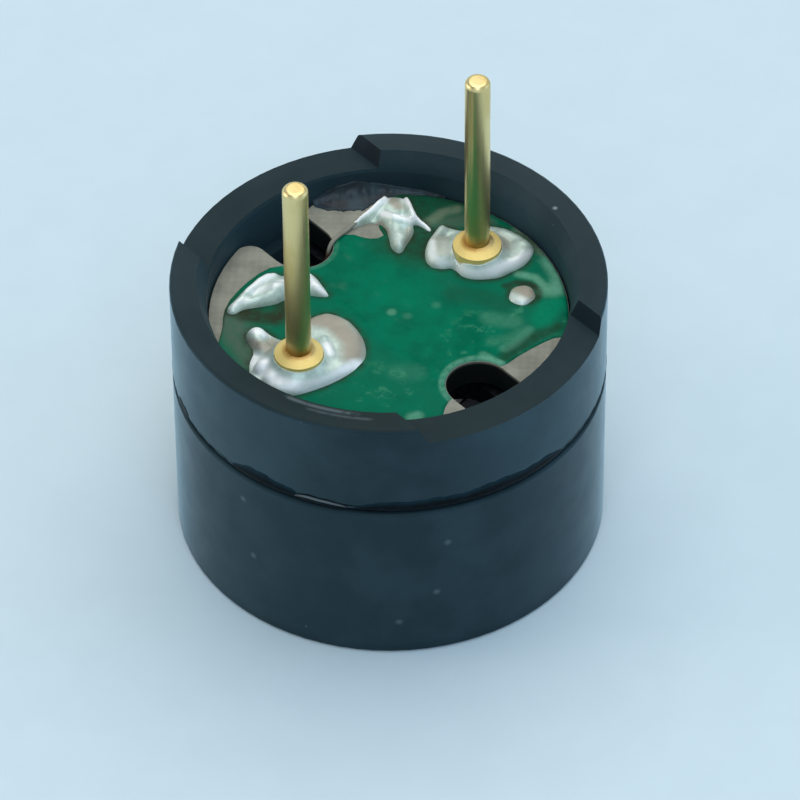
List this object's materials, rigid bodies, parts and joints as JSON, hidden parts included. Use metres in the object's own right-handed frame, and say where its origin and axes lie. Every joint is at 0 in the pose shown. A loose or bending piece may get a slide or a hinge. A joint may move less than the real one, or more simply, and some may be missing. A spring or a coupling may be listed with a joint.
{
  "type": "magnetic buzzer",
  "caption": "Round magnetic buzzer in a two-shell plastic housing, with an open-backed circuit board and straight wire pins for soldering to a board.",
  "frame": {"origin": "centre of the sound face, on the surface that it stands on", "axes": "+Z from the sound face towards the pins, +X along the line of the two pins towards pin_right, +Y towards the notch through which the coil ends come up"},
  "size_m": [0.012, 0.012, 0.0138],
  "materials": {
    "cap_plastic": "satin moulded plastic",
    "ring_plastic": "satin moulded plastic",
    "adhesive": "glossy black epoxy",
    "spring_steel": "rolled",
    "soft_iron": "dull nickel plate",
    "ferrite": "sintered, dark",
    "bobbin_plastic": "moulded nylon",
    "enamelled_wire": "enamelled copper",
    "board": "green solder mask over glass laminate",
    "pin_plating": "gold-tone plated brass",
    "solder": "tin solder, bright to dull"
  },
  "bodies": {
    "root": {"sound_cap": "cap_plastic", "base_ring": "ring_plastic", "seam_adhesive": "adhesive", "diaphragm": "spring_steel", "armature_disc": "soft_iron", "pole_core": "soft_iron", "yoke_plate": "soft_iron", "ring_magnet": "ferrite", "coil_bobbin": "bobbin_plastic", "coil_winding": "enamelled_wire", "coil_lead_left": "enamelled_wire", "coil_lead_right": "enamelled_wire", "circuit_board": "board", "board_adhesive": "adhesive", "pin_left": "pin_plating", "pin_right": "pin_plating", "pin_solder_left": "solder", "pin_solder_right": "solder", "coil_solder_left": "solder", "coil_solder_right": "solder", "via_solder": "solder"}
  },
  "joints": []
}
